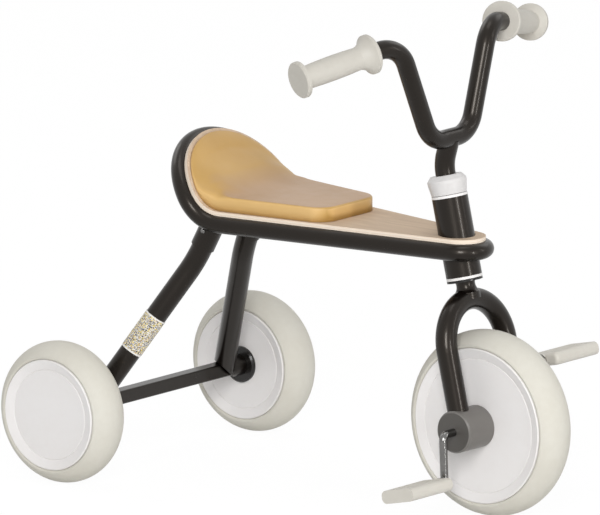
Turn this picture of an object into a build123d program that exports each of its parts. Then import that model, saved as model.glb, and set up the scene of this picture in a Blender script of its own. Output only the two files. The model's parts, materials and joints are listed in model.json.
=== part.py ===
from build123d import *
import os
from math import acos, atan, cos, hypot, radians, sin, sqrt, tan

# Children's tricycle.  Millimetres, +X forward, +Y to the rider's left, +Z up.
# The origin lies on the floor under the middle of the overall box.

# ---- overall layout ---------------------------------------------------------
wheelbase = 499.0
rear_track = 356.0            # between the rear wheels' mid planes
front_wheel_r = 110.0
rear_wheel_r = 84.0
rake = 13.3                   # steering axis, degrees back from vertical

# ---- clearances -------------------------------------------------------------
run_fit = 0.08                # radial, a shaft that turns in its bore
slip_fit = 0.05               # radial, parts that slide together and stay
seat_gap = 0.25               # between a part and the curved seat it rests on
turn_gap = 0.6                # axial, between faces that turn past each other

# ---- tubes ------------------------------------------------------------------
loop_r = 10.0
loop_wall = 1.8
leg_r = 12.7
leg_wall = 1.5
fork_r = 12.7
fork_wall = 2.0
bar_r = 11.1
bar_wall = 1.6
stem_r = 11.9
stem_wall = 1.9
socket_wall = 1.5

# ---- frame loop -------------------------------------------------------------
loop_up = 33.35               # seat's centreline above the head tube's lower end, up the axis
nose_lead = 4.3               # nose arc's centre ahead of the steering axis
nose_r = 27.6                 # nose arc, on the centreline
crease_half = 81.13           # half width at the crease, on the centreline
fold_x = 133.5                # crease of seat and backrest, ahead of the rear axle
back_angle = 50.6             # backrest above horizontal, degrees
fold_r = 45.0                 # bend between seat and backrest, on the centreline
back_h = 105.8                # crease to the top of the centreline, up the backrest
corner_r = 42.0               # lower corners of the backrest's outline
crown_r = 86.2                # top of the backrest's outline

# ---- seat board and cushion ---------------------------------------------------
board_t = 5.0
board_overhang = 0.3          # board's edge outside the loop's centreline
board_hole_gap = 0.4          # board's hole outside the head tube
tab_t = 2.5
tab_reach = 21.0              # tab's free end inside the loop's centreline
tab_w = 16.0
seat_tab_x = 300.0            # seat tabs, ahead of the rear axle
back_tab_turn = 36.0          # backrest tabs, degrees round the corners from their widest point
screw_r = 2.5
screw_head_r = 4.5
screw_head_h = 2.4
screw_bite = 4.5              # screw's length inside the board
screw_inset = 5.0             # screw's axis from the tab's free end
cushion_inset = 4.6           # board's edge to the cushion's edge
cushion_front_x = 292.0       # cushion's front edge, ahead of the rear axle
cushion_t = 17.4              # thickness on the seat
cushion_back_t = 8.0          # thickness on the backrest
cushion_corner_r = 16.0

# ---- head tube and steering, measured along the steering axis ---------------------
head_r = 21.2
head_wall = 2.4
arch_gap = 23.7               # tyre to the inside of the fork's arch
neck_h = 27.2                 # arch's centreline to the head tube's lower end
head_length = 93.6
bush_flange_t = 3.0
bush_spigot = 14.0
steerer_r = 11.0
steerer_wall = 2.6
crown_cap_t = 2.4
crown_shoulder = 0.9          # fork neck's step that carries the cap
stem_foot_gap = 0.9           # stem's foot above the upper bush
spigot_length = 19.0          # steerer's reduced end inside the stem
collar_h = 22.5
collar_r = 23.0
collar_foot_r = 20.9
collar_top_r = 18.4
collar_shoulder = 17.0        # height at which the collar starts to close
collar_band = 4.0             # upright band under that height
collar_wall = 3.0
collar_inside_bevel = 1.0
collar_boss_wall = 3.2
bolt_gap = 0.5                # round the bolt's head
stem_screw_r = 2.5
stem_screw_head_r = 4.6
stem_screw_head_h = 2.8
stem_screw_up = 11.0          # above the collar's foot
stem_screw_tip = 14.0         # bolt's tip past the steering axis

# ---- stem and handlebar, as (ahead of the steering axis, out, above the head tube) ---
bar_low = (16.17, 0.0, 68.07)           # middle of the handlebar's bottom run
bar_elbow = (36.68, 84.0, 190.95)       # corner of arm and grip
bar_end = (-11.72, 217.0, 173.52)       # end of the grip
stem_bend_up = 39.0                     # where the stem turns forward
stem_bend_r = 46.0
bar_bottom_half = 36.0        # bottom run's corners, each side of the middle
bar_bottom_r = 34.0
bar_elbow_r = 34.0
grip_length = 104.0
grip_belly = 3.5              # rubber over the tube at the grip's middle
grip_neck = 2.5               # and beside its flanges
grip_inner_flange = 12.6      # flanges' height over the tube
grip_outer_flange = 10.7
grip_flange_t = 5.5
grip_cap_t = 3.0
grip_edge_r = 1.4
grip_fillet = 4.0
grip_flare = 15.0             # length over which the body widens to the inner flange
grip_flare_out = 3.3          # the flare's middle, outside the grip's neck
grip_flare_along = 8.25       # and from the flare's start

# ---- fork -----------------------------------------------------------------------
fork_half = 54.4              # legs' centrelines from the middle
neck_flare = 3.5              # flare's width and height at the steerer's foot
neck_hollow = 0.7             # flare's middle outside the steerer's shoulder
neck_weld = 0.6               # flare's foot over the arch's centreline, as a share of its radius
hub_r = 24.8
hub_inner = 24.6              # housing's inner face from the middle
hub_outer = 70.0
hub_bevel = 1.8
leg_end = -15.0               # lower end of the fork legs, up the axis from the axle
bush_r = 8.0

# ---- crank and pedals -------------------------------------------------------------
crank_r = 4.8
crank_throw = 56.0
crank_knee = 89.2             # first bend from the middle
crank_foot = 92.4             # second bend from the middle
crank_bend_r = 8.0
crank_swing = 5.2             # crank's lean from vertical, degrees
pedal_inner = 102.4
pedal_outer = 180.0
pedal_w = 47.0
pedal_t = 15.5
pedal_tilt = 12.5
pedal_edge_r = 6.5
pedal_end_r = 5.0
tread_depth = 0.8
tread_w = 3.0
tread_pitch = 7.2
tread_count = 5
tread_end = 9.0               # grooves stop this far from the pedal's ends
pedal_end_wall = 5.0          # closed outer end of the pedal's bore
washer_r = 7.6
washer_t = 1.6
fin_w = 14.0                  # key swaged on the crank inside the wheel's hub
fin_t = 3.0
fin_length = 24.0

# ---- wheels, measured along the axle from the wheel's mid plane -------------------
tyre_crown_r = 31.0           # round profile of the tyre
tyre_depth = 18.0             # tyre's height outside the disc
tyre_lip_r = 2.4              # rounding where the tyre's side meets the disc
disc_face = 24.0
disc_lip = 27.0               # disc's rim, level with the tyre's side
disc_t = 2.4
disc_edge_t = 3.0
disc_bevel = 1.3
groove_in = 11.6              # groove circle inside the disc's edge
groove_w = 1.4
groove_depth = 0.8
barrel_in = 9.0               # wheel's barrel inside the disc's edge
barrel_t = 3.0
core_half = 21.4
bead_gap = 0.25               # between the tyre's bead and the disc
bead_drop = 2.0               # bead's slope towards the barrel
web_t = 4.0
core_hub_r = 15.0
rib_count = 6
rib_t = 3.0
rib_half = 15.0
front_disc_hole_r = 9.0

# ---- rear legs, cross bar and axle ---------------------------------------------------
bridge_turn = 42.0                # bridge tube's place along the fold, degrees
socket_half = 36.2                # sockets from the middle, at the bridge
leg_foot_y = 121.6                # leg's foot from the middle
leg_lean = (0.544, 0.451)         # forwards and inwards per millimetre up
leg_knee_rise = 171.4             # leg's bend above the axle
leg_bend_r = 130.0
leg_top_gap = 13.0                # leg's top end below the bridge's axis
socket_length = 55.6              # bridge's axis to the socket's rim
cross_bar_set = 4.45               # leg's side outside the cross bar's, each side
cross_bar_wall = 1.8
cross_bar_edge_r = 2.0
axle_r = 5.0
boss_r = 21.7
boss_face = 29.1                  # hub boss's inner face from the wheel's mid plane
boss_spigot_r = 12.0
spacer_r = 12.5
nut_flat = 8.0                    # half the nut's width across flats
nut_t = 6.0
nut_seat = 12.0                   # hub's outer recess, from the mid plane
nut_recess_r = 11.0
axle_over = 2.0                   # axle's end past the nut
sleeve_foot = 77.7                # leg's foot to the sleeve's lower edge
sleeve_length = 50.5
sleeve_t = 0.6

# ---- leg buttons -----------------------------------------------------------------
button_r = 3.0
button_proud = 2.2
button_dome = 1.6             # height of the rounded tip
button_travel = 3.0
button_up = 22.3                  # above the socket's rim, along the socket
button_flange_r = 4.2
button_flange_t = 1.2
spring_t = 0.6
spring_w = 6.0
spring_reach = 30.0
spring_curl = 0.4             # its other bends, as a share of its main one

# ---- values that follow -------------------------------------------------------------
overall_length = wheelbase + front_wheel_r + rear_wheel_r
rear_x = rear_wheel_r - overall_length / 2
front_x = rear_x + wheelbase
rake_tan = tan(radians(rake))
arch_top = front_wheel_r + arch_gap + fork_r      # arch's centreline, up the axis from the axle
head_bottom = arch_top + neck_h
head_top = head_bottom + head_length
loop_z = front_wheel_r + (head_bottom + loop_up) * cos(radians(rake))
board_low = loop_r + seat_gap          # board's underside above the loop's centreline
fold_reach = fold_r * tan(radians(back_angle) / 2)
crease_x = rear_x + fold_x
nose_x = front_x - (loop_z - front_wheel_r) * rake_tan + nose_lead
side_run = nose_x - crease_x
side_lean = acos(nose_r / hypot(side_run, crease_half)) - atan(side_run / crease_half)
taper = tan(side_lean)                            # widening of each side per millimetre rearwards
front_axle = Vector(front_x, 0, front_wheel_r)
steer = Plane(
    origin=front_axle,
    x_dir=(cos(radians(rake)), 0, sin(radians(rake))),
    z_dir=(-sin(radians(rake)), 0, cos(radians(rake))),
)
back_plane = Plane(
    origin=(crease_x, 0, loop_z),
    x_dir=(-cos(radians(back_angle)), 0, sin(radians(back_angle))),
    z_dir=(sin(radians(back_angle)), 0, cos(radians(back_angle))),
)

nodes = {}


def post(radius, low, high):
    """Round bar on the Z axis from one height to another."""
    return Pos(0, 0, (low + high) / 2) * Cylinder(radius, high - low)


def bar_between(radius, start, end):
    """Solid round bar from one point to another."""
    start, end = Vector(start), Vector(end)
    return Plane(origin=start, z_dir=end - start) * post(radius, 0, (end - start).length)


def swept_bar(path, radius):
    """Solid round bar along a path of lines and arcs."""
    plane = Plane(origin=path @ 0, z_dir=path % 0)
    return sweep(plane * Circle(radius), path=path)


def swept_tube(path, radius, wall):
    return swept_bar(path, radius) - swept_bar(path, radius - wall)


def turned(*edges):
    """Solid of revolution about Z from a closed outline of (radius, height) edges."""
    return revolve(Plane.XZ * make_face(edges), Axis.Z)


def polyline_edges(*points):
    return list(Polyline(*points).edges())


def ring(outer, inner, low, high):
    return turned(*polyline_edges((inner, low), (outer, low), (outer, high), (inner, high), (inner, low)))


def mirrored(shape):
    """The same shape on the other side of the middle plane."""
    return mirror(shape, about=Plane.XZ)


def pair(name, left_shape):
    nodes[name + "_left"] = left_shape
    nodes[name + "_right"] = mirrored(left_shape)


def on_seat(x, y, rise=0.0):
    """Point over the seat: x ahead of the rear axle, rise above the loop's centreline."""
    return Vector(rear_x + x, y, loop_z + rise)


def on_back(h, y, rise=0.0):
    """Point on the backrest: h up from the crease, rise in front of the loop's centreline."""
    return back_plane.from_local_coords((h, -y, rise))


def arc_mid(centre, radius, start, end):
    """Point halfway round an arc, on its shorter side."""
    middle = (Vector(start) - Vector(centre)).normalized() + (Vector(end) - Vector(centre)).normalized()
    return Vector(centre) + middle.normalized() * radius


def backrest_corner():
    """Centre (h, y) of the corner arc that touches both the straight side and the crown arc."""
    shift = crease_half - corner_r / cos(side_lean)
    crown_h = back_h - crown_r
    a = 1 + taper**2
    b = 2 * (shift * taper - crown_h)
    c = crown_h**2 + shift**2 - (crown_r - corner_r) ** 2
    corner_h = (-b + sqrt(b * b - 4 * a * c)) / (2 * a)
    return Vector(corner_h, shift + taper * corner_h)


def backrest_arcs(offset):
    """Backrest outline (h, y): corner arc and crown arc, each as start, middle, end."""
    crown = Vector(back_h - crown_r, 0)
    corner = backrest_corner()
    small, large = corner_r + offset, crown_r + offset
    start = corner + Vector(-sin(side_lean), cos(side_lean)) * small
    joint = corner + (corner - crown).normalized() * small
    top = Vector(back_h + offset, 0)
    return (
        (start, arc_mid(corner, small, start, joint), joint),
        (joint, arc_mid(crown, large, joint, top), top),
    )


def nose_arc(offset):
    """Nose outline (x, y) in the seat plane, from the front to where the side starts."""
    centre = Vector(nose_x, 0)
    radius = nose_r + offset
    front = centre + Vector(radius, 0)
    side = centre + Vector(sin(side_lean), cos(side_lean)) * radius
    return front, arc_mid(centre, radius, front, side), side


def side_half(offset, x):
    """Half width of the outline at x on the seat."""
    return crease_half + offset / cos(side_lean) - taper * (x - crease_x)


def loop_path():
    """Left half of the loop's centreline, from the nose to the top of the backrest."""
    front, front_mid, side = [Vector(p.X, p.Y, loop_z) for p in nose_arc(0)]
    corner, crown = [[on_back(p.X, p.Y) for p in arc] for arc in backrest_arcs(0)]
    crease = Vector(crease_x, crease_half, loop_z)
    return Wire(
        [ThreePointArc(front, front_mid, side)]
        + FilletPolyline(side, crease, corner[0], radius=fold_r).edges()
        + [ThreePointArc(*corner), ThreePointArc(*crown)]
    )


def fold_point(turn):
    """Point in the middle plane on the fold's arc, turn degrees from its front end."""
    angle = radians(turn)
    return Vector(
        crease_x + fold_reach - fold_r * sin(angle), 0, loop_z + fold_r * (1 - cos(angle))
    )


def bent_sheet(offset, low, seat_t, back_t, front_edges):
    """Sheet that lies on the loop and folds up with it.

    front_edges are the left half of its outline ahead of the fold, from the middle back.
    """
    fold_front = crease_x + fold_reach
    front_half = side_half(offset, fold_front)
    seat_side = Line(front_edges[-1] @ 1, (fold_front, front_half))
    seat_end = Line((fold_front, front_half), (fold_front, 0))
    half = make_face(front_edges + [seat_side, seat_end, Line((fold_front, 0), front_edges[0] @ 0)])
    seat = Pos(0, 0, loop_z + low) * extrude(half, seat_t)

    corner, crown = backrest_arcs(offset)
    back_half = crease_half + offset / cos(side_lean) + taper * fold_reach
    half = make_face(
        [
            Line((fold_reach, 0), (fold_reach, back_half)),
            Line((fold_reach, back_half), corner[0]),
            ThreePointArc(*corner),
            ThreePointArc(*crown),
            Line(crown[2], (fold_reach, 0)),
        ]
    )
    back = back_plane * (Pos(0, 0, low) * extrude(half, back_t))

    section_a = Plane(origin=(fold_front, 0, loop_z), x_dir=(0, 1, 0), z_dir=(1, 0, 0))
    section_b = Plane(origin=on_back(fold_reach, 0), x_dir=(0, 1, 0), z_dir=-back_plane.x_dir)
    path = ThreePointArc(fold_point(0), fold_point(back_angle / 2), fold_point(back_angle))
    bend = sweep(
        [
            section_a * (Pos(0, low + seat_t / 2) * Rectangle(2 * front_half, seat_t)),
            section_b * (Pos(0, low + back_t / 2) * Rectangle(2 * back_half, back_t)),
        ],
        path=path,
        multisection=True,
    )
    seat = seat + mirrored(seat)
    back = back + mirrored(back)
    return seat + bend + back


# ---- frame body ------------------------------------------------------------------
half_path = loop_path()
loop_outer = swept_bar(half_path, loop_r)
loop_outer += mirrored(loop_outer)
loop_bore = swept_bar(half_path, loop_r - loop_wall)
loop_bore += mirrored(loop_bore)


def head_bar(radius):
    """Bar as long as the head tube, on the steering axis."""
    return steer * post(radius, head_bottom, head_bottom + head_length)


def tab_and_screw(centre, inward, normal):
    """Welded tab under the board and its screw; centre is on the loop's centreline."""
    plane = Plane(origin=centre, x_dir=inward, z_dir=normal)
    top = board_low - slip_fit
    screw_at = Pos(tab_reach - screw_inset, 0, 0)
    plate = Pos(tab_reach / 2, 0, top - tab_t / 2) * Box(tab_reach, tab_w, tab_t)
    plate -= screw_at * post(screw_r + slip_fit, 0, top)
    head_low = top - tab_t - screw_head_h
    screw = post(screw_head_r, head_low, top - tab_t) + post(screw_r, head_low, board_low + screw_bite)
    return plane * plate - loop_outer, plane * screw_at * screw


def board_fixings():
    """Tabs and screws on both sides of the seat and of the backrest."""
    seat_y = side_half(0, rear_x + seat_tab_x)
    turn = radians(back_tab_turn)
    back = backrest_corner() + Vector(sin(turn), cos(turn)) * corner_r
    back_inward = back_plane.x_dir * -sin(turn) - Vector(0, cos(turn), 0)
    stations = [
        (on_seat(seat_tab_x, seat_y), (0, -1, 0), (0, 0, 1)),
        (on_back(back.X, back.Y), back_inward, back_plane.z_dir),
    ]
    tabs, screws = [], []
    for station in stations:
        tab, screw = tab_and_screw(*station)
        tabs += [tab, mirrored(tab)]
        screws += [screw, mirrored(screw)]
    return tabs, screws


def seat_board(screws):
    nose = ThreePointArc(*nose_arc(board_overhang))
    sheet = bent_sheet(board_overhang, board_low, board_t, board_t, [nose])
    sheet -= head_bar(head_r + board_hole_gap)
    for screw in screws:
        sheet -= screw
    return sheet


def seat_cushion():
    """Plain closed solid of the padded seat and backrest."""
    offset = board_overhang - cushion_inset
    front_x = rear_x + cushion_front_x
    half = side_half(offset, front_x)
    fold_front = crease_x + fold_reach
    corner = FilletPolyline(
        (front_x, 0), (front_x, half), (fold_front, side_half(offset, fold_front)), radius=cushion_corner_r
    )
    front_edges = list(corner.edges())[:2]
    return bent_sheet(offset, board_low + board_t + seat_gap, cushion_t, cushion_back_t, front_edges)


tabs, screws = board_fixings()
nodes["frame_loop"] = loop_outer - loop_bore - head_bar(head_r)
nodes["head_tube"] = head_bar(head_r) - head_bar(head_r - head_wall)
nodes["board_tabs"] = Compound(tabs)
nodes["board_screws"] = Compound(screws)
nodes["seat_board"] = seat_board(screws)
nodes["seat_cushion"] = seat_cushion()

# ---- rear legs -------------------------------------------------------------------
cross_bar_w = 2 * (leg_r - cross_bar_set)
foot = Vector(rear_x, leg_foot_y, rear_wheel_r)
knee = foot + Vector(leg_lean[0], -leg_lean[1], 1) * leg_knee_rise
bridge_point = fold_point(bridge_turn)
leg_head = bridge_point + Vector(0, socket_half, 0)
leg_up = (leg_head - knee).normalized()
socket_rim = leg_head - leg_up * socket_length
leg_low_up = (knee - foot).normalized()


def mitre_side(sign):
    """Half space on one side of the plane where leg and cross bar meet; +1 is the leg's."""
    normal = (leg_low_up + Vector(0, 1, 0)) * sign
    size = 4 * leg_knee_rise
    return Plane(origin=foot, z_dir=normal) * Pos(0, 0, size / 2) * Box(size, size, size)


def leg_bars():
    """The left leg's outside and bore, before its foot is mitred."""
    low = foot - leg_low_up * 4 * leg_r
    path = Wire(FilletPolyline(low, knee, leg_head - leg_up * leg_top_gap, radius=leg_bend_r).edges())
    return swept_bar(path, leg_r), swept_bar(path, leg_r - leg_wall)


def button_plane():
    """Plane across the leg at the button, x pointing along the button outwards."""
    origin = socket_rim + leg_up * button_up
    side = Vector(0, 1, 0)
    outward = (side - leg_up * side.dot(leg_up)).normalized()
    return Plane(origin=origin, x_dir=outward, z_dir=leg_up)


def along_button(shape):
    """A shape made on the Z axis, laid along the button."""
    return button_at * Rot(0, 90, 0) * shape


button_at = button_plane()
socket_r = leg_r + slip_fit + socket_wall
axle_end = rear_track / 2 + nut_seat + nut_t + axle_over
leg_outer, leg_bore = leg_bars()
button_hole = along_button(post(button_r + run_fit, 0, 2 * leg_r))
bridge_reach = Vector(0, crease_half, 0)
bridge_bar = bar_between(loop_r, bridge_point - bridge_reach, bridge_point + bridge_reach)


def axle_bar(radius, reach):
    """Bar on the rear axle's line, reaching as far to each side."""
    return bar_between(radius, (rear_x, -reach, rear_wheel_r), (rear_x, reach, rear_wheel_r))


def rear_leg():
    tube = (leg_outer - leg_bore) & mitre_side(1)
    return tube - button_hole - axle_bar(axle_r + slip_fit, axle_end)


def leg_socket():
    tube = bar_between(socket_r, socket_rim, leg_head) - bar_between(leg_r + slip_fit, socket_rim, leg_head)
    return tube - bridge_bar - button_hole


def cross_bar():
    """Square tube between the legs' feet, mitred to them."""
    long = 2 * leg_foot_y + 4 * cross_bar_w
    outer = extrude(RectangleRounded(cross_bar_w, cross_bar_w, cross_bar_edge_r), long / 2, both=True)
    inner_w = cross_bar_w - 2 * cross_bar_wall
    bar = outer - Box(inner_w, inner_w, long)
    bar = Pos(rear_x, 0, rear_wheel_r) * Rot(90, 0, 0) * bar
    bar &= mitre_side(-1)
    return bar & mirrored(mitre_side(-1))


def spacer():
    """Sleeve on the axle from the leg to the wheel's boss."""
    end = Vector(rear_x, rear_track / 2 - boss_face - turn_gap, rear_wheel_r)
    sleeve = bar_between(spacer_r, foot, end) - bar_between(axle_r + slip_fit, foot, end)
    return (sleeve & mitre_side(1)) - leg_outer


def leg_sleeve():
    low = foot + leg_low_up * sleeve_foot
    high = low + leg_low_up * sleeve_length
    return bar_between(leg_r + slip_fit + sleeve_t, low, high) - bar_between(leg_r + slip_fit, low, high)


def leg_button():
    """Domed snap button with a flange that stops it inside the leg."""
    bore = leg_r - leg_wall
    flange_top = sqrt(bore**2 - button_flange_r**2) - run_fit
    tip = socket_r + button_proud
    shoulder = tip - button_dome
    dome_r = (button_r**2 + button_dome**2) / (2 * button_dome)
    dome_mid = arc_mid((0, tip - dome_r), dome_r, (button_r, shoulder), (0, tip))
    dome = ThreePointArc((button_r, shoulder), dome_mid, (0, tip))
    outline = polyline_edges(
        (0, tip), (0, flange_top - button_flange_t), (button_flange_r, flange_top - button_flange_t),
        (button_flange_r, flange_top), (button_r, flange_top), (button_r, shoulder),
    )
    return along_button(turned(dome, *outline))


def button_spring():
    """Hairpin leaf on the leg's far wall; its free arm ends where the pressed button stops."""
    bore = leg_r - leg_wall
    flange_low = sqrt(bore**2 - button_flange_r**2) - run_fit - button_flange_t
    arm = flange_low - button_travel - turn_gap
    seat = -sqrt(bore**2 - (spring_w / 2) ** 2) + spring_t
    bend = (arm - seat) / 4
    curl = bend * spring_curl
    line = FilletPolyline(
        (arm, spring_w), (arm, -button_flange_r), (seat + bend, -spring_reach), (seat, -spring_reach),
        (seat, 0), radius=(bend, curl, curl),
    )
    leaf = Wire(line.edges())
    section = Plane(origin=leaf @ 0, z_dir=leaf % 0, x_dir=(0, 0, 1)) * Rectangle(spring_w, spring_t)
    return button_at * Rot(90, 0, 0) * sweep(section, path=leaf)


def axle_nut():
    nut = extrude(RegularPolygon(nut_flat, 6, major_radius=False), nut_t)
    nut -= post(axle_r + slip_fit, 0, nut_t)
    return Plane(origin=(rear_x, rear_track / 2 + nut_seat, rear_wheel_r), z_dir=(0, 1, 0)) * nut


nodes["rear_bridge"] = bridge_bar - loop_outer
pair("leg_socket", leg_socket())
pair("rear_leg", rear_leg())
nodes["rear_cross_bar"] = cross_bar()
nodes["rear_axle"] = axle_bar(axle_r, axle_end)
pair("axle_spacer", spacer())
nodes["axle_nuts"] = Compound([axle_nut(), mirrored(axle_nut())])
nodes["leg_sleeve"] = mirrored(leg_sleeve())
pair("leg_button", leg_button())
nodes["button_springs"] = Compound([button_spring(), mirrored(button_spring())])


# ---- steering --------------------------------------------------------------------
cap_top = head_bottom - bush_flange_t - turn_gap
neck_top = cap_top - crown_cap_t
stem_foot = head_top + bush_flange_t + stem_foot_gap
collar_foot = head_top + bush_flange_t + turn_gap
spigot_r = stem_r - stem_wall - slip_fit


def headset_bush(rim, inside):
    """Flanged bush pressed into the head tube; rim is its visible ring's outer face."""
    step = 1 if inside > rim else -1
    seat = rim + step * bush_flange_t
    flange = ring(head_r, steerer_r + run_fit, min(rim, seat), max(rim, seat))
    end = seat + step * bush_spigot
    spigot = ring(head_r - head_wall - slip_fit, steerer_r + run_fit, min(seat, end), max(seat, end))
    return steer * (flange + spigot)


def steering_point(up, side=0.0, ahead=0.0):
    return steer.from_local_coords((ahead, side, up))


def bar_point(place):
    """Point of the handlebar from its place ahead of the steering axis, out and above the head tube."""
    ahead, out, up = place
    return steering_point(head_top + up, out, ahead)


def fork_arch_path():
    """Centreline of the arch, from the right leg's end over the top to the left leg's."""
    turn = arch_top - fork_half
    return Wire([
        Line(steering_point(leg_end, -fork_half), steering_point(turn, -fork_half)),
        ThreePointArc(
            steering_point(turn, -fork_half), steering_point(arch_top), steering_point(turn, fork_half)
        ),
        Line(steering_point(turn, fork_half), steering_point(leg_end, fork_half)),
    ])


def steerer():
    """Steering tube: flared foot coped to the arch, shoulder for the cap, reduced end for the stem."""
    shoulder_r = steerer_r + crown_shoulder
    weld = arch_top + fork_r * neck_weld
    flare_mid = (shoulder_r + neck_hollow, weld + neck_flare)
    flare = ThreePointArc((shoulder_r + neck_flare, weld), flare_mid, (shoulder_r, neck_top))
    outline = polyline_edges(
        (shoulder_r, neck_top), (steerer_r, neck_top), (steerer_r, stem_foot - seat_gap),
        (spigot_r, stem_foot - seat_gap), (spigot_r, stem_foot + spigot_length),
        (steerer_r - steerer_wall, stem_foot + spigot_length), (steerer_r - steerer_wall, arch_top),
        (shoulder_r + neck_flare, arch_top), (shoulder_r + neck_flare, weld),
    )
    tube = steer * turned(flare, *outline) - swept_bar(fork_arch_path(), fork_r)
    return tube - stem_bolt_line(stem_screw_r + slip_fit, -steerer_r, steerer_r)


def stem_bolt_line(radius, start, end):
    """Bar across the stem at the bolt, measured rearwards from the steering axis."""
    up = collar_foot + stem_screw_up
    return bar_between(radius, steering_point(up, 0, -start), steering_point(up, 0, -end))


def fork():
    tube = swept_tube(fork_arch_path(), fork_r, fork_wall)
    return tube - front_axle_bar(bush_r + slip_fit, hub_outer)


def across(shape, place=front_axle):
    """A shape made on the Z axis laid along +Y through a place; X stays X."""
    return Plane(origin=place, x_dir=(1, 0, 0), z_dir=(0, 1, 0)) * shape


def front_axle_bar(radius, reach):
    """Bar on the front axle's line, reaching as far to each side."""
    return across(post(radius, -reach, reach))


def stem():
    turn = steering_point(head_top + stem_bend_up)
    line = FilletPolyline(steering_point(stem_foot), turn, bar_point(bar_low), radius=stem_bend_r)
    tube = swept_tube(Wire(line.edges()), stem_r, stem_wall)
    return tube - bar_outer - stem_bolt_line(stem_screw_r + slip_fit, -2 * stem_r, 2 * stem_r)


def collar():
    """Cap over the stem's foot: a shell with an inner boss that the bolt pulls tight."""
    bore = stem_r + slip_fit
    boss = bore + collar_boss_wall
    shell = [
        (collar_foot_r, 0), (collar_r, collar_shoulder - collar_band), (collar_r, collar_shoulder),
        (collar_top_r, collar_h), (bore, collar_h), (bore, seat_gap), (boss, seat_gap),
        (boss, collar_h - collar_wall), (collar_top_r - collar_inside_bevel, collar_h - collar_wall),
        (collar_r - collar_wall, collar_shoulder - collar_inside_bevel), (collar_foot_r - collar_wall, 0),
        (collar_foot_r, 0),
    ]
    body = steer * Pos(0, 0, collar_foot) * turned(*polyline_edges(*shell))
    body -= stem_bolt_line(stem_screw_r + slip_fit, -stem_screw_tip, collar_r)
    return body - stem_bolt_line(stem_screw_head_r + bolt_gap, boss + bolt_gap, 2 * collar_r)


def stem_bolt():
    seat = stem_r + slip_fit + collar_boss_wall
    shank = stem_bolt_line(stem_screw_r, -stem_screw_tip, seat)
    return shank + stem_bolt_line(stem_screw_head_r, seat, seat + stem_screw_head_h)


def bar_path():
    """Left half of the handlebar's centreline, from its middle to the grip's closed end."""
    middle, elbow, tip = bar_point(bar_low), bar_point(bar_elbow), bar_point(bar_end)
    corner = middle + Vector(0, bar_bottom_half, 0)
    inner = tip + (elbow - tip).normalized() * grip_cap_t
    bends = (bar_bottom_r, bar_elbow_r)
    return Wire(FilletPolyline(middle, corner, elbow, inner, radius=bends).edges())


def grip():
    """Barrelled grip with a flange at each end; heights run inwards from its closed end."""
    tip, elbow = bar_point(bar_end), bar_point(bar_elbow)
    bore = bar_r + slip_fit
    belly_r, neck_r = bar_r + grip_belly, bar_r + grip_neck
    inner_r, outer_r = bar_r + grip_inner_flange, bar_r + grip_outer_flange
    edge = grip_edge_r
    body_low = grip_flange_t + grip_fillet
    flange_low = grip_length - grip_flange_t
    body_high = flange_low - grip_flare
    flare_mid = (neck_r + grip_flare_out, body_high + grip_flare_along)
    outline = polyline_edges((outer_r, edge), (outer_r, grip_flange_t), (neck_r, body_low))
    outline += [
        ThreePointArc((neck_r, body_low), (belly_r, body_high / 2), (neck_r, body_high)),
        ThreePointArc((neck_r, body_high), flare_mid, (inner_r, flange_low)),
    ]
    outline += polyline_edges(
        (inner_r, flange_low), (inner_r, grip_length - edge), (inner_r - edge, grip_length),
        (bore, grip_length), (bore, grip_cap_t), (0, grip_cap_t), (0, 0), (outer_r - edge, 0),
        (outer_r, edge),
    )
    return Plane(origin=tip, z_dir=elbow - tip) * turned(*outline)


def hub_housing():
    """Round housing on the fork leg's end, with a socket for the leg and a bore for the bush."""
    outline = polyline_edges(
        (0, hub_inner), (hub_r, hub_inner), (hub_r, hub_outer - hub_bevel), (hub_r - hub_bevel, hub_outer),
        (0, hub_outer), (0, hub_inner),
    )
    body = across(turned(*outline))
    socket = bar_between(
        fork_r + slip_fit, steering_point(leg_end - slip_fit, fork_half), steering_point(2 * hub_r, fork_half)
    )
    return body - socket - front_axle_bar(bush_r + slip_fit, 2 * hub_outer)


bar_outer = swept_bar(bar_path(), bar_r)
bar_outer += mirrored(bar_outer)
bar_bore = swept_bar(bar_path(), bar_r - bar_wall)
nodes["lower_bush"] = headset_bush(head_bottom - bush_flange_t, head_bottom)
nodes["upper_bush"] = headset_bush(head_top + bush_flange_t, head_top)
nodes["fork"] = fork()
nodes["steerer"] = steerer()
nodes["steering_cap"] = steer * ring(head_r, steerer_r + slip_fit, neck_top, cap_top)
nodes["steering_collar"] = collar()
nodes["stem"] = stem()
nodes["stem_bolt"] = stem_bolt()
nodes["handlebar"] = bar_outer - (bar_bore + mirrored(bar_bore))
pair("grip", grip())
pair("hub_housing", hub_housing())
pair("crank_bush", across(ring(bush_r, crank_r + run_fit, hub_inner, hub_outer)))


# ---- wheels ----------------------------------------------------------------------
def tyre(wheel_r):
    """Round tyre whose sides stand outside the discs; its bead lies under their rims."""
    edge = wheel_r - tyre_depth
    side = sqrt(tyre_crown_r**2 - (tyre_crown_r - tyre_depth) ** 2)
    bead = disc_lip - disc_edge_t - bead_gap
    seat = edge - barrel_in
    outline = polyline_edges(
        (edge, side), (edge, bead), (seat, bead - bead_drop), (seat, bead_drop - bead),
        (edge, -bead), (edge, -side),
    )
    profile = make_face([ThreePointArc((edge, side), (wheel_r, 0), (edge, -side))] + outline)
    lips = profile.vertices().sort_by(Axis.Y)
    return revolve(Plane.XZ * fillet([lips[0], lips[-1]], tyre_lip_r), Axis.Z)


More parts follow.
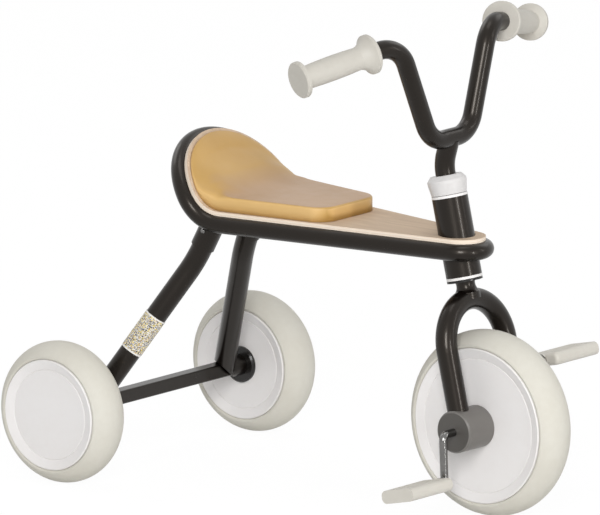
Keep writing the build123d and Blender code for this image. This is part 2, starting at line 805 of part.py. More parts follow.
def disc(wheel_r, hole_r):
    """Dished cover: flat middle, ring groove, then a slope up to the rim."""
    edge = wheel_r - tyre_depth - seat_gap
    groove = edge - groove_in
    low = disc_face - disc_t
    outline = [
        (hole_r, disc_face), (groove - groove_w, disc_face),
        (groove - groove_w / 2, disc_face - groove_depth), (groove, disc_face),
        (edge - disc_bevel, disc_lip), (edge, disc_lip - disc_bevel), (edge, disc_lip - disc_edge_t),
        (edge - disc_bevel, disc_lip - disc_edge_t), (groove + disc_t / 2, low), (hole_r, low),
        (hole_r, disc_face),
    ]
    return turned(*polyline_edges(*outline))


def core(wheel_r, bore_r):
    """Wheel's moulded core: barrel under the tyre, web, hub and ribs."""
    outer = wheel_r - tyre_depth - barrel_in - slip_fit
    inner = outer - barrel_t
    body = ring(outer, inner, -core_half, core_half) + ring(inner, core_hub_r, -web_t / 2, web_t / 2)
    body += ring(core_hub_r, bore_r, -core_half, core_half)
    middle = (inner + core_hub_r) / 2
    rib = Pos(middle, 0, 0) * Box(inner - core_hub_r + rib_t / 2, rib_t, 2 * rib_half)
    for station in PolarLocations(0, rib_count):
        body += station * rib
    return body


def rear_hub_boss():
    """Boss on the wheel's inner side, with a spigot through the disc to the core."""
    bore = axle_r + bolt_gap
    flange = ring(boss_r, bore, disc_face, boss_face)
    rim = flange.edges().filter_by(GeomType.CIRCLE).group_by(Axis.Z)[-1].sort_by(SortBy.RADIUS)[-1]
    flange = chamfer(rim, hub_bevel)
    return flange + ring(boss_spigot_r - slip_fit, bore, core_half, disc_face)


def rear_wheel(side):
    """Parts of one rear wheel; their inner side faces the frame.  side is +1 for the left."""
    place = Vector(rear_x, side * rear_track / 2, rear_wheel_r)
    inward = Plane(origin=place, x_dir=(1, 0, 0), z_dir=(0, -side, 0))
    tail = "_left" if side > 0 else "_right"
    bush_high = core_half
    bush_low = turn_gap - nut_seat
    hub = core(rear_wheel_r, bush_r + slip_fit) - post(nut_recess_r, -core_half, -nut_seat)
    nodes["rear_tyre" + tail] = inward * tyre(rear_wheel_r)
    nodes["rear_inner_disc" + tail] = inward * disc(rear_wheel_r, boss_spigot_r)
    nodes["rear_outer_disc" + tail] = inward * Rot(180, 0, 0) * disc(rear_wheel_r, 0)
    nodes["rear_wheel_core" + tail] = inward * hub
    nodes["rear_hub_bush" + tail] = inward * ring(bush_r, axle_r + run_fit, bush_low, bush_high)
    nodes["rear_hub_boss" + tail] = inward * rear_hub_boss()


# ---- crank and pedals ------------------------------------------------------------
crank_lean = Vector(sin(radians(crank_swing)), 0, -cos(radians(crank_swing)))
pin_offset = crank_lean * -crank_throw            # left pin from the front axle
pin_end = pedal_outer - pedal_end_wall - turn_gap


def crank_path():
    """Centreline from the right pin's end across the wheel to the left pin's end."""
    left = [
        front_axle + Vector(0, crank_knee, 0), front_axle + pin_offset + Vector(0, crank_foot, 0),
        front_axle + pin_offset + Vector(0, pin_end, 0),
    ]
    right = [
        front_axle - pin_offset - Vector(0, pin_end, 0), front_axle - pin_offset - Vector(0, crank_foot, 0),
        front_axle - Vector(0, crank_knee, 0),
    ]
    return Wire(FilletPolyline(*right, *left, radius=crank_bend_r).edges())


def crank_key(clearance=0.0):
    """Flat key across the crank, which the wheel's hub drives."""
    return across(Box(fin_w + 2 * clearance, fin_t + 2 * clearance, fin_length + 2 * clearance))


def pedal_bar(radius, start, end):
    """Bar on the left pedal's axis, between two distances from the middle."""
    pin = front_axle + pin_offset
    return bar_between(radius, pin + Vector(0, start, 0), pin + Vector(0, end, 0))


def pedal():
    """Block pedal with rounded edges and tread grooves, bored to a closed outer end."""
    length = pedal_outer - pedal_inner
    block = Box(pedal_w, pedal_t, length)
    block = fillet(block.edges().filter_by(Axis.Z), pedal_edge_r)
    for end in block.faces().filter_by(Axis.Z):
        block = fillet(end.edges(), pedal_end_r)
    for station in GridLocations(tread_pitch, pedal_t, tread_count, 2):
        block -= station * Box(tread_w, 2 * tread_depth, length - 2 * tread_end)
    place = Plane(
        origin=front_axle + pin_offset + Vector(0, (pedal_inner + pedal_outer) / 2, 0),
        x_dir=(cos(radians(pedal_tilt)), 0, sin(radians(pedal_tilt))),
        z_dir=(0, 1, 0),
    )
    return place * block - pedal_bar(crank_r + run_fit, crank_foot, pedal_outer - pedal_end_wall)


def pedal_washer():
    high = pedal_inner - turn_gap
    return pedal_bar(washer_r, high - washer_t, high) - pedal_bar(crank_r + slip_fit, crank_foot, high)


def on_right_pin(shape):
    """A shape made on the left pin, put on the right one; the pins lie opposite each other."""
    return Pos(*(pin_offset * -2)) * mirrored(shape)


pair("front_disc", across(disc(front_wheel_r, front_disc_hole_r)))
nodes["front_tyre"] = across(tyre(front_wheel_r))
nodes["front_wheel_core"] = across(core(front_wheel_r, crank_r + slip_fit)) - crank_key(slip_fit)
nodes["crank_rod"] = swept_bar(crank_path(), crank_r) + crank_key()
nodes["pedal_left"] = pedal()
nodes["pedal_right"] = on_right_pin(pedal())
nodes["pedal_washers"] = Compound([pedal_washer(), on_right_pin(pedal_washer())])
for side in (1, -1):
    rear_wheel(side)


os.makedirs("parts", exist_ok=True)
for name, shape in nodes.items():
    export_step(shape, f"parts/{name}.step")
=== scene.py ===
"""Children's tricycle: finishes, upholstery and studio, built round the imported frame.  Metres."""

import json
from math import cos, pi, radians, sin, sqrt, tan

import bmesh
import bpy
import numpy as np
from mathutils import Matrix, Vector

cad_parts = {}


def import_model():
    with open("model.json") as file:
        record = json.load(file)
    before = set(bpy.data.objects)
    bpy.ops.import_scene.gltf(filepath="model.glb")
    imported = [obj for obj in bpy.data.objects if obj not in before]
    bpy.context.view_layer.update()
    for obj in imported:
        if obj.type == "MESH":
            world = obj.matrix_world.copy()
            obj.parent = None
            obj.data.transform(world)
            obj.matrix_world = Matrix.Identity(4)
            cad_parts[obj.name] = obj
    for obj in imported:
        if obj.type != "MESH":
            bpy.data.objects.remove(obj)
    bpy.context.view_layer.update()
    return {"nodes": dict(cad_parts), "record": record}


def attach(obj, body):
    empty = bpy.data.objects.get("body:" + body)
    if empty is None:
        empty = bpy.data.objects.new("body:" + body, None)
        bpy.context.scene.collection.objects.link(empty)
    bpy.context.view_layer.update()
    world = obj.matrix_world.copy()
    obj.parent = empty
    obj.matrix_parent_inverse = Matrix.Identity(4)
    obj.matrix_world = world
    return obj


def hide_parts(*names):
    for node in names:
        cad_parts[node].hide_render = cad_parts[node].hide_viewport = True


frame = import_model()
nodes = frame["nodes"]


# ---- seat's shape, as the frame has it ---------------------------------------------
REAR_X = 0.0840 - 0.6930 / 2          # rear axle, from the middle of the overall box
LOOP_Z = 0.3114                       # centreline of the frame loop along the seat
FOLD_X = REAR_X + 0.1335              # crease of seat and backrest
BACK_ANGLE = radians(50.6)
FOLD_R = 0.045
TAPER = 0.165                         # widening of each side rearwards
CREASE_HALF = 0.08113                 # half the loop's width at the crease
BACK_H = 0.1058                       # crease to the top of the loop, up the backrest
CORNER_R = 0.0420                     # backrest's corner arcs, on the loop's centreline
CROWN_R = 0.0862                      # arc over the top of the backrest
CUSHION_INSET = 0.0043                # loop's centreline to the cushion's edge
CUSHION_FRONT_X = REAR_X + 0.292
CUSHION_LOW = 0.0155                  # cushion's underside above the loop's centreline
CUSHION_CORNER_R = 0.021
CUSHION_SEAT_TOP = 0.0329             # its top over the loop's centreline, on the seat
CUSHION_BACK_TOP = 0.0205             # and on the backrest
# its side at places behind the fold's front: upright part, width of the rolled edge, crown of the stuffing
CUSHION_SIDES = (
    (-0.004, 0.0142, 0.0034, 0.0004),
    (0.026, 0.0090, 0.0180, 0.0004),
    (0.055, 0.0018, 0.0270, 0.0004),
    (0.100, 0.0018, 0.0240, 0.0015),
)
CUSHION_HOLLOW_R = (0.042, 0.030)     # hollow of the fold, in the middle and at the edges
CUSHION_HOLLOW_IN = 0.035             # distance in from the edge at which the hollow is deepest
CUSHION_PUFF_REACH = 0.025            # the crown rises over about this length in from the rolled edge
CUSHION_SPREAD = 0.025                # the top's grid fans out this far before and past the fold
CUSHION_END_ROWS = 90                 # rows of its grid that crowd towards both ends
CUSHION_EVEN_ROWS = 60                # rows evenly spaced between the ends
CUSHION_END_ROOM = 0.012              # the even rows keep this far off the ends
CUSHION_COLUMNS = 61
CUSHION_COLUMN_CROWDING = 0.9         # under 1 moves the columns towards the side edges
CUSHION_LEAST_HALF = 0.0001           # half width at which an end closes
TOP_SEARCH_STEPS = 30                 # halvings in the search for the top's height
FOLD_REACH = FOLD_R * tan(BACK_ANGLE / 2)
FOLD_FRONT = FOLD_X + FOLD_REACH
FOLD_LENGTH = FOLD_R * BACK_ANGLE
SEAT_LENGTH = CUSHION_FRONT_X - FOLD_FRONT
LEAN = cos(np.arctan(TAPER))


# ---- node materials --------------------------------------------------------------
NOISE_RANGE = (0.3, 0.7)              # nearly all of a noise texture's values lie between these
MOULD_GRAIN = 900                     # noise scale of the grain on moulded faces
MOULD_RELIEF = 0.00006
PLY_PAIR = 0.0024                     # thickness of two plies
SHEET_TURN = 0.02                     # length behind the crease over which the board's layers turn up
SHEET_BACK_NORMAL = (sin(BACK_ANGLE), 0, cos(BACK_ANGLE))
LEG_FOOT = Vector((REAR_X, -0.1216, 0.084))
LEG_ALONG = Vector((0.544, 0.451, 1)).normalized()
LEG_SIDE = LEG_ALONG.cross(Vector((0, 1, 0))).normalized()
LEG_OUT = LEG_SIDE.cross(LEG_ALONG)
LEG_R = 0.0133
SLEEVE_MIDDLE = 0.1030                # up the leg from its foot
SLEEVE_PRINT_HALF = 0.0232            # half the printed length between the hems
SLEEVE_HEM_BLUR = 0.0003              # width of the step from print to hem
FILM_WHITE = (0.84, 0.82, 0.78)
FILM_GOLD = (0.82, 0.64, 0.16)
# the other inks, each with the random pick above which a motif takes it
FILM_INKS = ((0.28, (0.62, 0.36, 0.09)), (0.36, (0.045, 0.04, 0.04)), (0.70, (0.32, 0.31, 0.31)))
# layers of motifs: round or diamond, the pattern's scale, and a motif's size in its cell
FILM_MOTIFS = (("EUCLIDEAN", 330, 0.30), ("MANHATTAN", 460, 0.34), ("EUCLIDEAN", 700, 0.27))


class Finish:
    """A node material: a Principled shader and short ways to feed it."""

    def __init__(self, name, **constants):
        self.material = bpy.data.materials.new(name)
        self.material.use_nodes = True
        self.tree = self.material.node_tree
        self.shader = self.tree.nodes["Principled BSDF"]
        for key, value in constants.items():
            self.feed(self.shader, key.replace("_", " "), value)

    def feed(self, node, socket, value):
        if isinstance(value, bpy.types.NodeSocket):
            self.tree.links.new(value, node.inputs[socket])
        else:
            node.inputs[socket].default_value = value

    def node(self, kind, inputs=(), **settings):
        made = self.tree.nodes.new("ShaderNode" + kind)
        for key, value in settings.items():
            setattr(made, key, value)
        for socket, value in dict(inputs).items():
            self.feed(made, socket, value)
        return made

    def position(self, scale=(1, 1, 1)):
        """The point in the row frame, stretched along each axis."""
        at = self.node("TexCoord").outputs["Object"]
        return self.node("VectorMath", {0: at, 1: scale}, operation="MULTIPLY").outputs[0]

    def dot(self, first, second):
        return self.node("VectorMath", {0: first, 1: second}, operation="DOT_PRODUCT").outputs["Value"]

    def facing(self, axis):
        """How squarely the surface looks along an axis of the piece's own frame, either way."""
        return self.math("ABSOLUTE", self.dot(self.node("TexCoord").outputs["Normal"], axis))

    def noise(self, scale, detail=4, stretch=(1, 1, 1), at=None, rough=0.5):
        where = at or self.position(stretch)
        inputs = {"Vector": where, "Scale": scale, "Detail": detail, "Roughness": rough}
        return self.node("TexNoise", inputs).outputs["Fac"]

    def math(self, operation, *values):
        return self.node("Math", enumerate(values), operation=operation).outputs[0]

    def remap(self, value, low, high, to_low=0.0, to_high=1.0):
        inputs = {"Value": value, "From Min": low, "From Max": high, "To Min": to_low, "To Max": to_high}
        return self.node("MapRange", inputs).outputs[0]

    def mix(self, factor, first, second):
        """Colour between two colours."""
        made = self.node("Mix", data_type="RGBA")
        self.feed(made, "Factor", factor)
        for socket, colour in ((6, first), (7, second)):
            if not isinstance(colour, bpy.types.NodeSocket):
                colour = (*colour, 1.0)
            self.feed(made, socket, colour)
        return made.outputs[2]

    def colour(self, value):
        self.feed(self.shader, "Base Color", value)

    def roughness(self, noise, low, high):
        """Roughness that follows a noise from low to high."""
        self.feed(self.shader, "Roughness", self.remap(noise, *NOISE_RANGE, low, high))

    def bump(self, height, distance, strength=1.0):
        """Adds relief; later calls lie on top of earlier ones."""
        inputs = {"Height": height, "Distance": distance, "Strength": strength}
        under = self.shader.inputs["Normal"]
        if under.links:
            inputs["Normal"] = under.links[0].from_socket
        self.feed(self.shader, "Normal", self.node("Bump", inputs).outputs[0])

    def worn(self, base, worn, noise_scale):
        """Base colour varied by a broad and a fine noise."""
        broad = self.noise(noise_scale, 3)
        fine = self.noise(noise_scale * 9, 5)
        blend = self.math("MULTIPLY_ADD", fine, 0.35, self.math("MULTIPLY", broad, 0.65))
        self.colour(self.mix(self.remap(blend, 0.35, 0.65), base, worn))


def black_paint():
    """Dark brown satin paint under a thin clear coat, with faint orange peel."""
    f = Finish("black_paint", Specular_IOR_Level=0.28, Coat_Weight=0.14, Coat_Roughness=0.05, Coat_IOR=1.5)
    f.shader.inputs["Specular Tint"].default_value = (1.0, 0.88, 0.76, 1.0)
    f.worn((0.0030, 0.0020, 0.0015), (0.0048, 0.0034, 0.0027), 22)
    f.roughness(f.noise(60, 5), 0.27, 0.32)
    f.bump(f.noise(420, 2), 0.0002, 0.03)
    return f.material


def moulded(name, base, worn, roughness, grain=MOULD_GRAIN, **constants):
    """Moulded plastic or rubber with a fine grain."""
    f = Finish(name, **constants)
    f.worn(base, worn, 16)
    f.roughness(f.noise(45, 4), roughness - 0.05, roughness + 0.06)
    f.bump(f.noise(grain, 3), MOULD_RELIEF, 0.6)
    return f.material


def hub_plastic():
    """Moulded grey, with painted shade on its flat outer faces: those that look along Y take a darker grey
    than the round sides.
    """
    f = Finish("grey_plastic", Specular_IOR_Level=0.4)
    sides = f.mix(f.noise(30, 4), (0.150, 0.140, 0.129), (0.172, 0.162, 0.150))
    # painted shade: the darker grey of the flat outer faces
    faces = f.mix(f.noise(30, 4), (0.080, 0.074, 0.067), (0.092, 0.086, 0.078))
    f.colour(f.mix(f.remap(f.facing((0, 1, 0)), 0.90, 0.97), sides, faces))
    f.roughness(f.noise(45, 4), 0.36, 0.46)
    f.bump(f.noise(MOULD_GRAIN, 3), MOULD_RELIEF, 0.6)
    return f.material


def metal(name, base, worn, roughness):
    """Bare or plated metal with fine scratches along X."""
    f = Finish(name, Metallic=1.0)
    f.worn(base, worn, 40)
    scratches = f.noise(260, 4, stretch=(0.15, 1, 1))
    f.roughness(scratches, roughness * 0.7, roughness * 1.4)
    f.bump(scratches, 0.00005, 0.3)
    return f.material


def wood():
    """Lacquered plywood: long grain on the faces, thin plies on the edges, whose paler colour is partly
    painted light.
    """
    f = Finish("wood", Specular_IOR_Level=0.12)
    at = f.position()
    bend = f.node("TexNoise", {"Vector": at, "Scale": 7.0, "Detail": 2.0}).outputs["Fac"]
    warped = f.position((0.05, 1, 1))
    shift = f.math("MULTIPLY", bend, 0.02)
    moved = f.node("CombineXYZ", {"X": shift, "Y": shift, "Z": shift}).outputs[0]
    long = f.node("VectorMath", {0: warped, 1: moved}, operation="ADD").outputs[0]
    bands = f.noise(120, 6, at=long, rough=0.6)
    pores = f.noise(900, 3, at=long)
    face = f.mix(f.remap(bands, 0.34, 0.66), (0.575, 0.437, 0.315), (0.69, 0.54, 0.402))
    face = f.mix(f.remap(pores, 0.62, 0.8, 0, 0.35), face, (0.40, 0.285, 0.195))
    back = f.remap(f.node("SeparateXYZ", {0: at}).outputs["X"], FOLD_X, FOLD_X - SHEET_TURN)
    layers = {"Factor": back, 4: (0, 0, 1), 5: SHEET_BACK_NORMAL}
    across = f.node("Mix", layers, data_type="VECTOR").outputs[1]
    edge = f.remap(f.facing(across), 0.55, 0.35)
    plies = f.math("SINE", f.math("MULTIPLY", f.dot(at, across), 2 * pi / PLY_PAIR))
    # the edges' paler plies are partly their own colour and partly painted light, lifted so the thin edge
    # reads bright
    side = f.mix(f.remap(plies, -0.6, 0.6), (0.90, 0.75, 0.60), (0.93, 0.82, 0.70))
    f.colour(f.mix(edge, face, side))
    f.roughness(bands, 0.55, 0.65)
    f.bump(bands, 0.0001, 0.25)
    return f.material


def print_film():
    """White film round the right rear leg: a loose scatter of dots and diamonds between plain hems."""
    f = Finish("print_film", Specular_IOR_Level=0.5, Roughness=0.25)
    at = f.node("VectorMath", {0: f.position(), 1: LEG_FOOT}, operation="SUBTRACT").outputs[0]
    along, side, out = [f.dot(at, axis) for axis in (LEG_ALONG, LEG_SIDE, LEG_OUT)]
    turn = f.math("MULTIPLY", f.math("ARCTAN2", side, out), LEG_R)
    flat = f.node("CombineXYZ", {"X": turn, "Y": along}).outputs[0]
    paper = f.mix(f.noise(200, 3), (0.80, 0.78, 0.73), FILM_WHITE)
    for metric, scale, size in FILM_MOTIFS:
        spots = f.node(
            "TexVoronoi", {"Vector": flat, "Scale": scale, "Randomness": 0.8},
            voronoi_dimensions="2D", distance=metric, feature="F1",
        )
        pick = f.node("SeparateColor", {0: spots.outputs["Color"]}).outputs["Red"]
        ink = FILM_GOLD
        for least, colour in FILM_INKS:
            ink = f.mix(f.math("GREATER_THAN", pick, least), ink, colour)
        paper = f.mix(f.remap(spots.outputs["Distance"], size + 0.04, size), paper, ink)
    from_middle = f.math("ABSOLUTE", f.math("SUBTRACT", along, SLEEVE_MIDDLE))
    hem = f.remap(from_middle, SLEEVE_PRINT_HALF, SLEEVE_PRINT_HALF + SLEEVE_HEM_BLUR)
    f.colour(f.mix(hem, paper, FILM_WHITE))
    return f.material


def leather():
    """Ochre coated fabric with a fine pebble grain. Painted light: level faces take a greyer ochre for the
    sheen they show, and faces looking sideways or forwards a brighter, richer one for the light on them.
    """
    f = Finish("leather", Specular_IOR_Level=0.42)
    patches = f.remap(f.noise(14, 3), 0.35, 0.65)
    plain = f.mix(patches, (0.515, 0.305, 0.085), (0.56, 0.342, 0.105))
    # painted sheen: a greyer ochre for the level faces
    top = f.mix(patches, (0.478, 0.300, 0.162), (0.510, 0.327, 0.188))
    # painted light: a brighter ochre for faces that look sideways or forwards
    wall = f.mix(patches, (0.70, 0.450, 0.170), (0.75, 0.490, 0.198))
    sideways = f.remap(f.facing((0, 1, 0)), 0.45, 0.85)
    forward = f.remap(f.facing((1, 0, 0)), 0.82, 0.95)
    level = f.remap(f.facing((0, 0, 1)), 0.86, 0.97)
    f.colour(f.mix(f.math("MAXIMUM", sideways, forward), f.mix(level, plain, top), wall))
    f.roughness(f.noise(70, 4), 0.36, 0.42)
    pebbles = f.node("TexVoronoi", {"Vector": f.position(), "Scale": 900.0}, feature="SMOOTH_F1")
    f.bump(pebbles.outputs["Distance"], 0.00012, 0.35)
    f.bump(f.noise(40, 3), 0.0006, 0.12)
    return f.material


TYRE_CREAM = (0.66, 0.635, 0.56), (0.70, 0.68, 0.61)
SOFT_BLACK = (0.010, 0.009, 0.008), (0.016, 0.014, 0.013)
MATERIALS = {
    "black_paint": black_paint(),
    "wood": wood(),
    "leather": leather(),
    "cream_tyre": moulded("cream_tyre", *TYRE_CREAM, 0.62, grain=500, Specular_IOR_Level=0.35),
    "cream_rubber": moulded("cream_rubber", (0.54, 0.515, 0.46), (0.58, 0.555, 0.50), 0.55),
    "cream_plastic": moulded("cream_plastic", (0.62, 0.59, 0.525), (0.655, 0.63, 0.57), 0.5),
    "white_plastic": moulded("white_plastic", (0.85, 0.825, 0.81), (0.87, 0.85, 0.84), 0.46),
    "core_plastic": moulded("core_plastic", (0.72, 0.70, 0.68), (0.76, 0.74, 0.72), 0.5),
    "bush_nylon": moulded("bush_nylon", (0.72, 0.71, 0.68), (0.78, 0.77, 0.74), 0.45),
    "black_plastic": moulded("black_plastic", *SOFT_BLACK, 0.2, Specular_IOR_Level=0.35),
    "grey_plastic": hub_plastic(),
    # chrome's dark grey is painted reflection, standing in for the dark surroundings a plated rod mirrors
    "chrome": metal("chrome", (0.15, 0.147, 0.143), (0.20, 0.196, 0.19), 0.10),
    "zinc_steel": metal("zinc_steel", (0.50, 0.49, 0.46), (0.60, 0.58, 0.54), 0.30),
    "print_film": print_film(),
    "spring_steel": metal("spring_steel", (0.34, 0.34, 0.36), (0.44, 0.44, 0.46), 0.28),
}
# painted shade: a darker white for the steering collar than the other white plastic pieces
CAP_WHITE = moulded("cap_white", (0.66, 0.645, 0.635), (0.70, 0.685, 0.675), 0.42)
BUSH_GREY = moulded("bush_grey", (0.070, 0.065, 0.060), (0.084, 0.078, 0.072), 0.42)
NODE_MATERIALS = {                    # pieces whose shade differs from the rest of their slot
    "steering_collar": CAP_WHITE,
    "crank_bush_left": BUSH_GREY,
    "crank_bush_right": BUSH_GREY,
}
slots = {row["node"]: row["material_slot"] for row in frame["record"]["subparts"]}
for name, node in nodes.items():
    node.data.materials.clear()
    node.data.materials.append(NODE_MATERIALS.get(name) or MATERIALS[slots[name]])


# ---- seat cushion ------------------------------------------------------------------
def piece(name, mesh, body, material):
    """Smooth object from a bmesh, riding on a body."""
    data = bpy.data.meshes.new(name)
    mesh.to_mesh(data)
    mesh.free()
    data.polygons.foreach_set("use_smooth", [True] * len(data.polygons))
    data.materials.append(material)
    made = bpy.data.objects.new(name, data)
    bpy.context.scene.collection.objects.link(made)
    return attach(made, body)


def edge_distance(points, ring):
    """Distance of each point of a grid to a closed outline."""
    start = ring[None]
    step = np.roll(ring, -1, axis=0)[None] - start
    length = np.maximum((step**2).sum(-1), 1e-12)
    flat = points.reshape(-1, 1, 2)
    along = np.clip(((flat - start) * step).sum(-1) / length, 0, 1)
    gap = np.sqrt(((flat - start - along[..., None] * step) ** 2).sum(-1))
    return gap.min(1).reshape(points.shape[:-1])


def ease(share):
    """Smooth step from 0 to 1."""
    share = np.clip(share, 0, 1)
    return share * share * (3 - 2 * share)


def backrest_corner():
    """Centre (h, y) of the corner arc that touches both the straight side and the crown arc."""
    shift = CREASE_HALF - CORNER_R / LEAN
    crown_h = BACK_H - CROWN_R
    a = 1 + TAPER**2
    b = 2 * (shift * TAPER - crown_h)
    c = crown_h**2 + shift**2 - (CROWN_R - CORNER_R) ** 2
    corner_h = (-b + sqrt(b * b - 4 * a * c)) / (2 * a)
    return corner_h, shift + TAPER * corner_h


def cushion_half(s):
    """Half width of the cushion at s, the distance back from its front edge along the seat."""
    side = CREASE_HALF - CUSHION_INSET / LEAN
    if s < SEAT_LENGTH:
        half = side - TAPER * (CUSHION_FRONT_X - s - FOLD_X)
        inset = CUSHION_CORNER_R - s
        if inset > 0:
            half -= CUSHION_CORNER_R - sqrt(max(CUSHION_CORNER_R**2 - inset**2, 0.0))
        return half
    if s < SEAT_LENGTH + FOLD_LENGTH:
        share = (s - SEAT_LENGTH) / FOLD_LENGTH
        return side + TAPER * FOLD_REACH * (2 * share - 1)
    h = FOLD_REACH + s - SEAT_LENGTH - FOLD_LENGTH
    corner_h, corner_y = backrest_corner()
    corner_r, crown_r = CORNER_R - CUSHION_INSET, CROWN_R - CUSHION_INSET
    crown_h = BACK_H - CROWN_R
    joint_h = corner_h + (corner_h - crown_h) / (CROWN_R - CORNER_R) * corner_r
    if h < joint_h:
        return corner_y + sqrt(max(corner_r**2 - (h - corner_h) ** 2, 0.0))
    return sqrt(max(crown_r**2 - (h - crown_h) ** 2, 0.0))


def sheet_section(s, spread=0.0):
    """Bent sheet's centreline at s back from the cushion's front edge: x, z and its normal's x, z.

    With a spread the normals start to turn that far before the fold and end that far past it.
    """
    turn = np.clip((s - SEAT_LENGTH) / FOLD_R, 0, BACK_ANGLE)
    past = np.maximum(s - SEAT_LENGTH - FOLD_LENGTH, 0)
    x = FOLD_FRONT + np.maximum(SEAT_LENGTH - s, 0) - FOLD_R * np.sin(turn) - past * np.cos(turn)
    z = LOOP_Z + FOLD_R * (1 - np.cos(turn)) + past * np.sin(turn)
    normal = BACK_ANGLE * np.clip((s - SEAT_LENGTH + spread) / (FOLD_LENGTH + 2 * spread), 0, 1)
    return x, z, np.sin(normal), np.cos(normal)


def cushion_top(s, depth):
    """Rise of the top over the loop's centreline: two planes joined by a hollow, tighter at the edges."""
    x, z, normal_x, normal_z = sheet_section(s, CUSHION_SPREAD)
    middle, edge = CUSHION_HOLLOW_R
    radius = edge + (middle - edge) * ease(depth / CUSHION_HOLLOW_IN)
    low, high = np.zeros_like(s), np.full_like(s, 2 * FOLD_R)
    for _ in range(TOP_SEARCH_STEPS):
        rise = (low + high) / 2
        ahead, up = x + rise * normal_x - FOLD_X, z + rise * normal_z - LOOP_Z
        over_seat = up - CUSHION_SEAT_TOP
        over_back = ahead * sin(BACK_ANGLE) + up * cos(BACK_ANGLE) - CUSHION_BACK_TOP
        near = np.hypot(np.maximum(radius - over_seat, 0), np.maximum(radius - over_back, 0))
        inside = near > radius
        low, high = np.where(inside, rise, low), np.where(inside, high, rise)
    return low


def cushion_stations():
    """Distances of the grid's rows back from the front edge, closer together at both ends."""
    total = SEAT_LENGTH + FOLD_LENGTH + BACK_H - FOLD_REACH - CUSHION_INSET
    ends = total * (1 - np.cos(np.linspace(0, np.pi, CUSHION_END_ROWS))) / 2
    even = np.linspace(CUSHION_END_ROOM, total - CUSHION_END_ROOM, CUSHION_EVEN_ROWS)
    return np.unique(np.concatenate([ends, even]).round(6))


def cushion_side(behind):
    """Upright part, rolled width and crown at distances behind the fold's front, eased from row to row."""
    places, *columns = np.array(CUSHION_SIDES).T
    step = np.interp(behind, places, np.arange(len(places)))
    eased = np.floor(step) + ease(step % 1)
    return [np.interp(eased, np.arange(len(places)), column) for column in columns]


def cushion_grid():
    """Flat grid of (distance back from the front edge, y) that fills the cushion's outline."""
    across = np.sin(np.linspace(-np.pi / 2, np.pi / 2, CUSHION_COLUMNS))
    across = np.sign(across) * np.abs(across) ** CUSHION_COLUMN_CROWDING
    halves = [(s, max(cushion_half(s), CUSHION_LEAST_HALF)) for s in cushion_stations()]
    return np.array([[(s, u * half) for u in across] for s, half in halves])


def cushion_rise(flat):
    """Height of the top over the loop's centreline at each point of the grid."""
    ring = np.concatenate([flat[:, 0], flat[-1, 1:-1], flat[::-1, -1], flat[0, -2:0:-1]])
    depth = edge_distance(flat, ring)
    wall, roll, puff = cushion_side(flat[..., 0] - SEAT_LENGTH)
    side = CUSHION_LOW + wall
    rolled = np.sqrt(1 - (1 - np.clip(depth / roll, 0, 1)) ** 2)
    rise = side + (cushion_top(flat[..., 0], depth) - side) * rolled
    return rise + puff * (1 - np.exp(-np.maximum(depth - roll, 0) / CUSHION_PUFF_REACH))


def seat_cushion(material):
    """Upholstered pad: upright sides, a tight rounded edge, and a crowned top that thins up the backrest."""
    flat = cushion_grid()
    mesh = bmesh.new()
    sheets = []
    for height, spread in ((cushion_rise(flat), CUSHION_SPREAD), (CUSHION_LOW, 0.0)):
        x, z, normal_x, normal_z = sheet_section(flat[..., 0], spread)
        points = np.stack([x + height * normal_x, flat[..., 1], z + height * normal_z], -1)
        sheets.append([[mesh.verts.new(point) for point in row] for row in points])
    top, low = sheets
    rows, columns = flat.shape[:2]
    for i in range(rows - 1):
        for j in range(columns - 1):
            mesh.faces.new((top[i][j], top[i][j + 1], top[i + 1][j + 1], top[i + 1][j]))
            mesh.faces.new((low[i][j], low[i + 1][j], low[i + 1][j + 1], low[i][j + 1]))
    border = [(i, 0) for i in range(rows)]
    border += [(rows - 1, j) for j in range(1, columns)]
    border += [(i, columns - 1) for i in range(rows - 2, -1, -1)]
    border += [(0, j) for j in range(columns - 2, 0, -1)]
    for (i, j), (k, m) in zip(border, border[1:] + border[:1]):
        mesh.faces.new((top[i][j], top[k][m], low[k][m], low[i][j]))
    bmesh.ops.recalc_face_normals(mesh, faces=mesh.faces)
    return piece("cushion", mesh, "frame", material)


cushion = seat_cushion(MATERIALS["leather"])
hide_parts("seat_cushion")


# ---- studio -----------------------------------------------------------------------
VIEW_AZIMUTH = radians(38.95)
VIEW_ELEVATION = radians(12.18)
VIEW_DISTANCE = 27.28
VIEW_TARGET = Vector((-0.0492, 0.0005, 0.2673))
# longest that keeps the other views within their clipping distance
LENS_MM = 1400                        # a long lens, for a nearly flat view
SENSOR_MM = 36
FLOOR_SIZE = 12.0
FLOOR_GLOW = 1.03
FLOOR_GLOW_SHARE = 0.93               # the rest of what is seen directly is the lit floor with its shadows
WORLD_LIT = 0.32
WORLD_SEEN = 1.0
WHITE = (1, 1, 1, 1)
LAMP_DISTANCE = 6.0
LAMPS_POINT_AT = Vector((0, 0, 0.25))
# name, degrees round the object to the camera's right, degrees up, width and height, watts
LAMPS = (
    ("key", -3, 24, (1.5, 2.6), 190),
    ("strip", 43, 9.1, (0.5, 2.4), 74),
    ("side", 80, 20, (0.5, 2.4), 16),
    ("top", 0, 90, (3.0, 2.4), 41),
    ("back_left", -135, 40, (3.0, 2.4), 42),
    ("back_right", 135, 40, (3.0, 2.4), 25),
)


def direction(azimuth, elevation):
    """Unit vector towards a place round the object; azimuth 0 is -Y and a quarter turn is +X."""
    return Vector((cos(elevation) * sin(azimuth), -cos(elevation) * cos(azimuth), sin(elevation)))


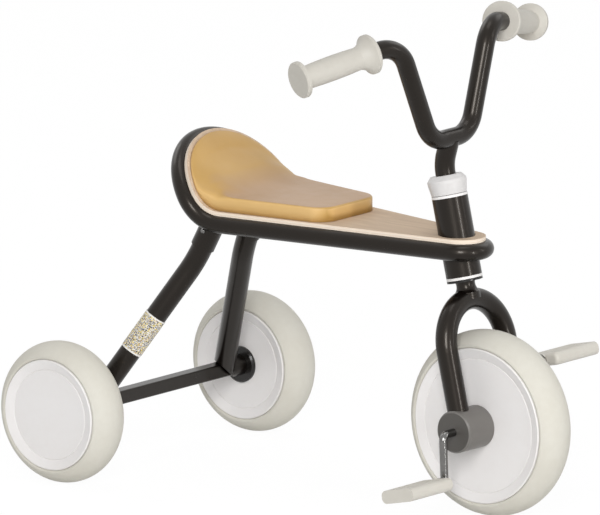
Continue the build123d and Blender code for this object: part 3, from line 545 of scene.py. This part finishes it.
def camera():
    """View from the front right, as flat as a long lens gives."""
    data = bpy.data.cameras.new("camera")
    data.lens = LENS_MM
    data.sensor_width = SENSOR_MM
    data.clip_end = 2 * VIEW_DISTANCE
    cam = bpy.data.objects.new("camera", data)
    bpy.context.scene.collection.objects.link(cam)
    toward = direction(VIEW_AZIMUTH, VIEW_ELEVATION)
    cam.location = VIEW_TARGET + toward * VIEW_DISTANCE
    cam.rotation_euler = toward.to_track_quat("Z", "Y").to_euler()
    bpy.context.scene.camera = cam


def lamp(name, turn, height, size, power):
    """Soft box aimed at the object, with its place as in LAMPS."""
    data = bpy.data.lights.new(name, "AREA")
    data.shape = "RECTANGLE"
    data.size, data.size_y = size
    data.energy = power
    made = bpy.data.objects.new(name, data)
    toward = direction(VIEW_AZIMUTH + radians(turn), radians(height))
    made.location = LAMPS_POINT_AT + toward * LAMP_DISTANCE
    made.rotation_euler = toward.to_track_quat("Z", "Y").to_euler()
    bpy.context.scene.collection.objects.link(made)


def seen_directly(tree):
    """1 where a camera, glossy or transmission ray sees the surface."""
    path = tree.nodes.new("ShaderNodeLightPath")
    total = path.outputs["Is Camera Ray"]
    for extra in ("Is Glossy Ray", "Is Transmission Ray"):
        add = tree.nodes.new("ShaderNodeMath")
        add.operation = "MAXIMUM"
        tree.links.new(total, add.inputs[0])
        tree.links.new(path.outputs[extra], add.inputs[1])
        total = add.outputs[0]
    return total


def world():
    """Plain light on the object, and a white background where it is seen."""
    made = bpy.data.worlds.new("studio")
    made.use_nodes = True
    tree = made.node_tree
    tree.nodes.clear()
    mix = tree.nodes.new("ShaderNodeMixShader")
    tree.links.new(seen_directly(tree), mix.inputs[0])
    for socket, strength in ((1, WORLD_LIT), (2, WORLD_SEEN)):
        background = tree.nodes.new("ShaderNodeBackground")
        background.inputs["Color"].default_value = WHITE
        background.inputs["Strength"].default_value = strength
        tree.links.new(background.outputs[0], mix.inputs[socket])
    output = tree.nodes.new("ShaderNodeOutputWorld")
    tree.links.new(mix.outputs[0], output.inputs[0])
    bpy.context.scene.world = made


def floor():
    """Pale plane that shows almost white and keeps the object's shadow."""
    bpy.ops.mesh.primitive_plane_add(size=FLOOR_SIZE)
    plane = bpy.context.object
    plane.name = "floor"
    f = Finish("floor", Roughness=0.9)
    f.colour(f.mix(f.noise(3), (0.80, 0.80, 0.80), (0.82, 0.82, 0.82)))
    glow = f.node("Emission", {"Color": WHITE, "Strength": FLOOR_GLOW})
    share = f.math("MULTIPLY", seen_directly(f.tree), FLOOR_GLOW_SHARE)
    mix = f.node("MixShader", {0: share, 1: f.shader.outputs[0], 2: glow.outputs[0]})
    f.tree.links.new(mix.outputs[0], f.tree.nodes["Material Output"].inputs[0])
    plane.data.materials.append(f.material)


camera()
world()
floor()
for row in LAMPS:
    lamp(*row)

bpy.context.scene.view_settings.view_transform = "Standard"
